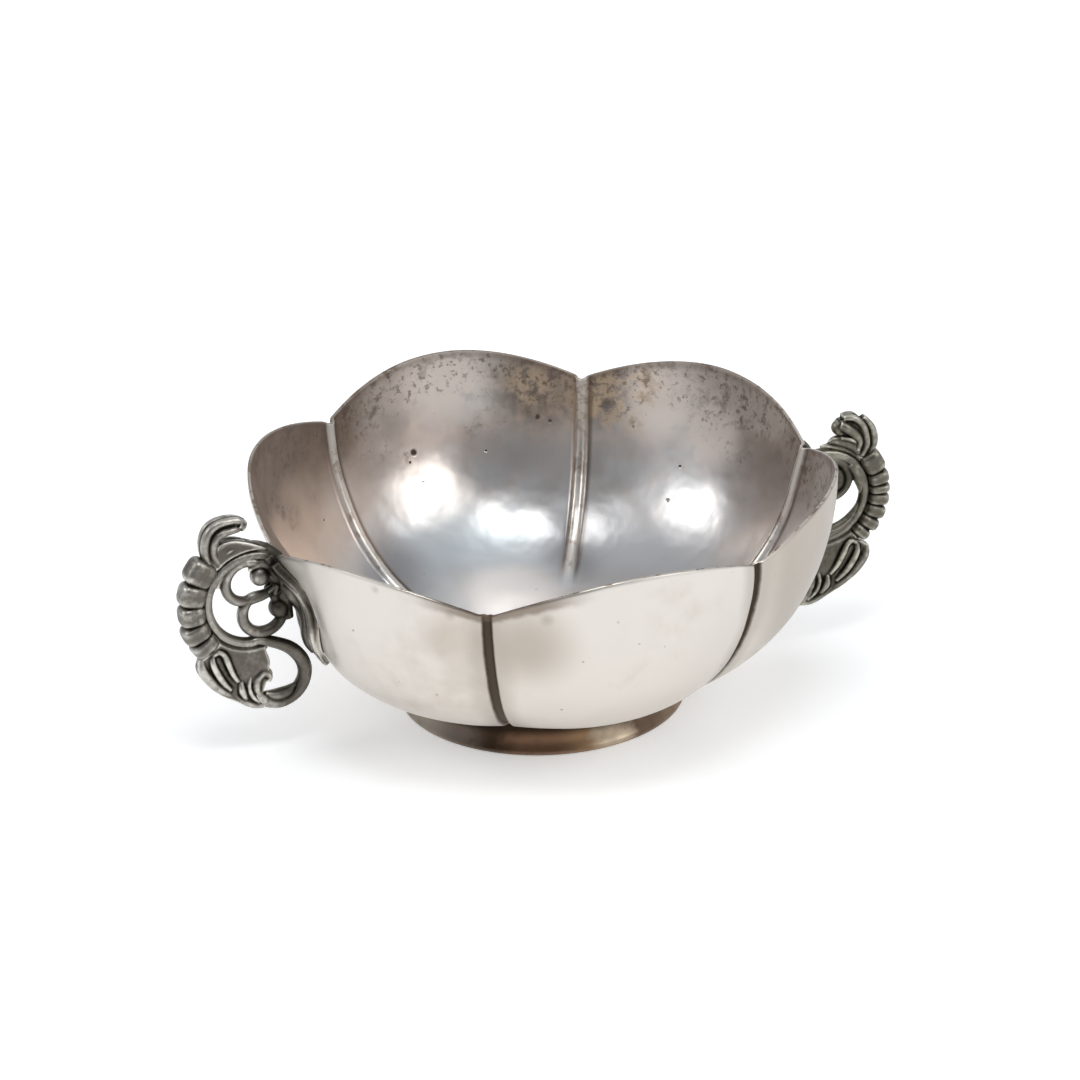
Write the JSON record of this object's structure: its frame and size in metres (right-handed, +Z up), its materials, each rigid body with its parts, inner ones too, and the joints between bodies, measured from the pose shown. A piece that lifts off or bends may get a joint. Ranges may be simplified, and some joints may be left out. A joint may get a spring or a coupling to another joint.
{
  "type": "two-handled bowl",
  "caption": "Lobed metal bowl with a scalloped rim, chased channels between the lobes, a plain ring foot and openwork scroll handles with leaf and petal ornament.",
  "frame": {"origin": "on the axis of the ring foot, at the table it stands on", "axes": "+X towards the right handle, +Y away from the side that the picture shows, +Z up"},
  "size_m": [0.1676, 0.13, 0.0578],
  "materials": {
    "silver_body": "worn hand-raised silver, brown tarnish inside",
    "silver_foot": "silver with brown tarnish",
    "silver_handles": "cast silver, dark in the recesses and worn bright on the ridges"
  },
  "bodies": {
    "root": {"bowl_shell": "silver_body", "foot_ring": "silver_foot", "right_mount_strap": "silver_handles", "right_main_scroll": "silver_handles", "right_double_volute": "silver_handles", "right_petal_crest": "silver_handles", "right_plume": "silver_handles", "right_plume_sheath": "silver_handles", "right_acanthus_leaf": "silver_handles", "left_mount_strap": "silver_handles", "left_main_scroll": "silver_handles", "left_double_volute": "silver_handles", "left_petal_crest": "silver_handles", "left_plume": "silver_handles", "left_plume_sheath": "silver_handles", "left_acanthus_leaf": "silver_handles"}
  },
  "joints": []
}
